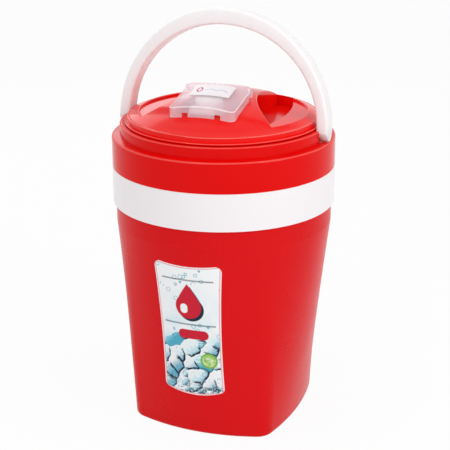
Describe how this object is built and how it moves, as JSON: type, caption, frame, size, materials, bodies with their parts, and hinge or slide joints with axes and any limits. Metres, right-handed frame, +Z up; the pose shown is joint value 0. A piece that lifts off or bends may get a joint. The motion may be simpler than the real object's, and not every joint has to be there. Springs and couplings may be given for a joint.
{
  "type": "insulated water jug",
  "caption": "Insulated drinking water jug, square at the foot and round at the top, with a screw lid, a clear flip cover over the spout and a folding carry handle.",
  "frame": {"origin": "middle of the flat foot, on the surface that it stands on", "axes": "+Z up, -Y the front with the label and the spout, +X the right side seen from above with the front towards the reader; the handle turns about an axis along X"},
  "size_m": [0.194, 0.194, 0.3629],
  "materials": {
    "shell_red": "glossy",
    "collar_red": "glossy",
    "lid_red": "glossy",
    "band_white": "glossy",
    "handle_white": "satin, slightly translucent",
    "liner_white": "satin",
    "lid_base_white": "satin",
    "spout_white": "satin",
    "cap_seal_white": "matte",
    "cover_clear": "clear, glossy",
    "foam_cream": "closed-cell foam",
    "gasket_rubber": "matte",
    "seal_rubber": "matte",
    "plug_grey": "matte",
    "pin_steel": "brushed",
    "label_paper": "printed film",
    "sticker_paper": "printed film"
  },
  "bodies": {
    "jug": {"outer_shell": "shell_red", "fill_plug": "plug_grey", "body_foam": "foam_cream", "liner_seal": "seal_rubber", "inner_liner": "liner_white", "white_band": "band_white", "collar": "collar_red", "pivot_pins": "pin_steel", "body_label": "label_paper"},
    "carry_handle": {"handle": "handle_white"},
    "gasket": {"lid_gasket": "gasket_rubber"},
    "lid": {"lid_base": "lid_base_white", "lid_foam": "foam_cream", "lid_top": "lid_red", "spout": "spout_white", "spout_gasket": "seal_rubber", "cover_hinge_pin": "pin_steel"},
    "cover": {"flip_cover": "cover_clear", "cover_seal": "cap_seal_white", "cover_sticker": "sticker_paper"}
  },
  "joints": [
    {"name": "handle_swing", "type": "hinge", "parent": "jug", "child": "carry_handle", "pos_m": [0, 0, 0.2625], "axis": [-1, 0, 0], "range_deg": [-6, 64]},
    {"name": "lid_lift", "type": "slide", "parent": "jug", "child": "gasket", "axis": [0, 0, 1], "range_m": [0, 0.004]},
    {"name": "lid_turn", "type": "hinge", "parent": "gasket", "child": "lid", "pos_m": [0, 0, 0.257], "axis": [0, 0, 1], "range_deg": [0, 180]},
    {"name": "cover_hinge", "type": "hinge", "parent": "lid", "child": "cover", "pos_m": [0.00067, -0.01198, 0.2955], "axis": [-0.9984, -0.0558, 0], "range_deg": [0, 70]}
  ],
  "couplings": [
    {"joint": "lid_lift", "follows": "lid_turn", "m_per_rad": 0.0012732}
  ]
}
